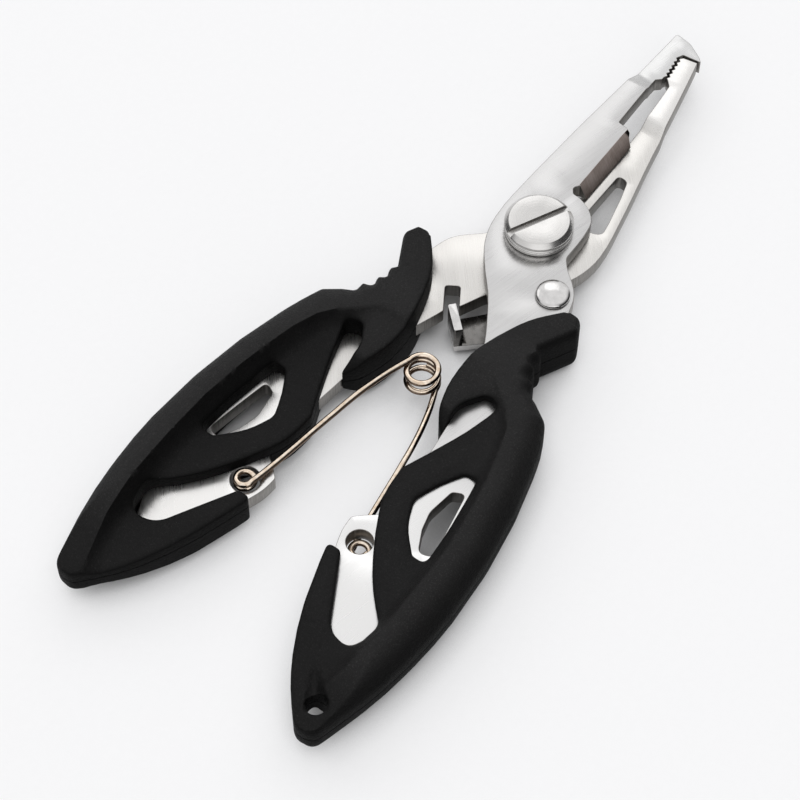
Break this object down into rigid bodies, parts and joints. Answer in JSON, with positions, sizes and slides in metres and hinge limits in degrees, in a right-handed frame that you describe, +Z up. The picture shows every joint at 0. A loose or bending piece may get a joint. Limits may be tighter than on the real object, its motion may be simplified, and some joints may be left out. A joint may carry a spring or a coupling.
{
  "type": "split-ring fishing pliers",
  "caption": "Spring-opened fishing pliers with hooked and toothed jaws, a line cutter, clamshell grips and a swinging latch.",
  "frame": {"origin": "on the pivot axis, at the flat underside of the pivot's barrel nut", "axes": "+Z up along the pivot axis, through the screw's head; +Y from the handles to the jaws, along the tool; +X towards the right handle"},
  "size_m": [0.0506, 0.1265, 0.0101],
  "materials": {
    "brushed_stainless": "brushed",
    "polished_steel": "polished",
    "spring_wire": "bright drawn wire",
    "black_moulded_plastic": "fine matte moulding"
  },
  "bodies": {
    "front_half": {"front_lever": "brushed_stainless", "right_grip_top": "black_moulded_plastic", "right_grip_bottom": "black_moulded_plastic", "pivot_screw": "polished_steel", "pivot_washer": "polished_steel", "pivot_barrel_nut": "polished_steel", "latch_rivet": "polished_steel", "latch_spacer": "polished_steel"},
    "rear_half": {"rear_lever": "brushed_stainless", "left_grip_top": "black_moulded_plastic", "left_grip_bottom": "black_moulded_plastic"},
    "latch": {"latch_arm": "polished_steel"},
    "spring_right": {"spring_right_arm": "spring_wire"},
    "spring_left": {"spring_left_arm": "spring_wire"}
  },
  "joints": [
    {"name": "jaw_hinge", "type": "hinge", "parent": "front_half", "child": "rear_half", "pos_m": [0, 0, 0.005], "axis": [0, 0, -1], "range_deg": [-0.4, 22], "stiffness_Nm_per_rad": 0.15, "springref_deg": 22},
    {"name": "latch_swing", "type": "hinge", "parent": "front_half", "child": "latch", "pos_m": [0.00805, -0.0083, 0.0015], "axis": [0, 0, 1], "range_deg": [-13, 12]},
    {"name": "spring_right_swing", "type": "hinge", "parent": "front_half", "child": "spring_right", "pos_m": [0.0096, -0.0563, 0.0045], "axis": [0, 0, 1], "range_deg": [-0.3, 13]},
    {"name": "spring_coil", "type": "hinge", "parent": "spring_right", "child": "spring_left", "pos_m": [0, -0.0286, 0.005], "axis": [0, 0, -1], "range_deg": [-1, 48]}
  ],
  "couplings": [
    {"joint": "spring_right_swing", "follows": "jaw_hinge", "ratio": 0.584},
    {"joint": "spring_coil", "follows": "jaw_hinge", "ratio": 2.17}
  ]
}
